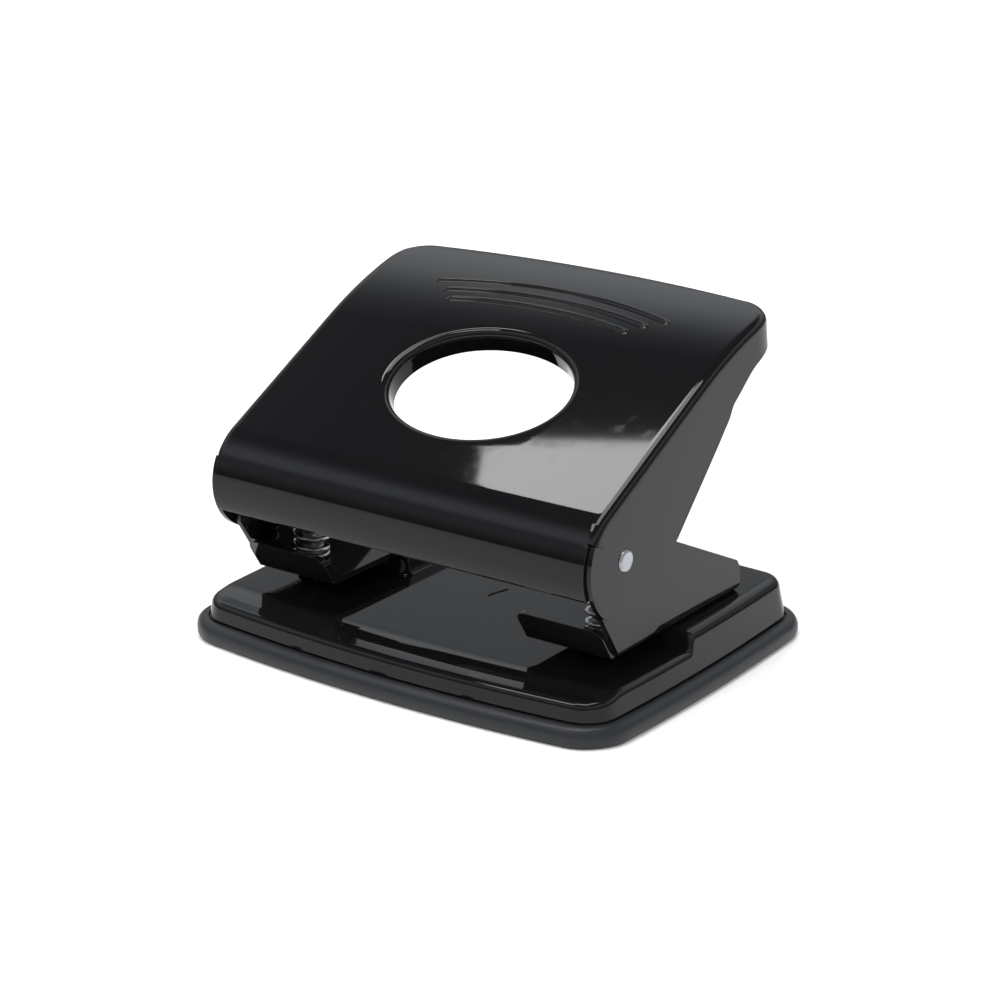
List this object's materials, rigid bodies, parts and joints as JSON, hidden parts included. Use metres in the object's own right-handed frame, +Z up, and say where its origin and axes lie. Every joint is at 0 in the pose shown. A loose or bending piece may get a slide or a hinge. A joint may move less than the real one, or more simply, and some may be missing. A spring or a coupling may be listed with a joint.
{
  "type": "two-hole desk punch",
  "caption": "Small desk paper punch: a sloped steel lever with an oval hole drives two sprung pins through a sheet steel base on a moulded chip tray.",
  "frame": {"origin": "centre of the base's footprint, on the surface the punch stands on", "axes": "+X along the axle to the right, +Y towards the free end of the lever, +Z up"},
  "size_m": [0.1164, 0.0918, 0.0769],
  "materials": {
    "black_enamel": "high gloss stoved enamel",
    "bracket_enamel": "gloss stoved enamel",
    "grey_moulding": "satin moulded",
    "zinc_steel": "zinc plated",
    "bright_steel": "ground",
    "spring_wire": "drawn wire"
  },
  "bodies": {
    "frame": {"base_plate": "black_enamel", "left_bracket": "bracket_enamel", "right_bracket": "bracket_enamel", "left_pin_guide": "zinc_steel", "right_pin_guide": "zinc_steel", "left_bracket_rivets": "bracket_enamel", "right_bracket_rivets": "bracket_enamel", "pivot_axle": "bright_steel", "left_axle_ring": "zinc_steel", "right_axle_ring": "zinc_steel", "left_return_spring": "spring_wire", "right_return_spring": "spring_wire"},
    "lever": {"lever_shell": "black_enamel", "left_press_saddle": "zinc_steel", "right_press_saddle": "zinc_steel"},
    "left_punch": {"left_punch_pin": "bright_steel", "left_pin_clip": "zinc_steel", "left_spring_washer": "zinc_steel"},
    "right_punch": {"right_punch_pin": "bright_steel", "right_pin_clip": "zinc_steel", "right_spring_washer": "zinc_steel"},
    "tray": {"base_tray": "grey_moulding"}
  },
  "joints": [
    {"name": "lever_press", "type": "hinge", "parent": "frame", "child": "lever", "pos_m": [0, -0.02415, 0.0359], "axis": [-1, 0, 0], "range_deg": [0, 35], "stiffness_Nm_per_rad": 0.35, "springref_deg": -25.21},
    {"name": "left_pin_drive", "type": "slide", "parent": "frame", "child": "left_punch", "axis": [0, 0, -1], "range_m": [0, 0.0052], "deforming": ["left_return_spring"]},
    {"name": "right_pin_drive", "type": "slide", "parent": "frame", "child": "right_punch", "axis": [0, 0, -1], "range_m": [0, 0.0052], "deforming": ["right_return_spring"]},
    {"name": "tray_pull", "type": "slide", "parent": "frame", "child": "tray", "axis": [0, 0, -1], "range_m": [0, 0.03]}
  ],
  "couplings": [
    {"joint": "left_pin_drive", "follows": "lever_press", "m_per_rad": 0.0084669},
    {"joint": "right_pin_drive", "follows": "lever_press", "m_per_rad": 0.0084669}
  ]
}
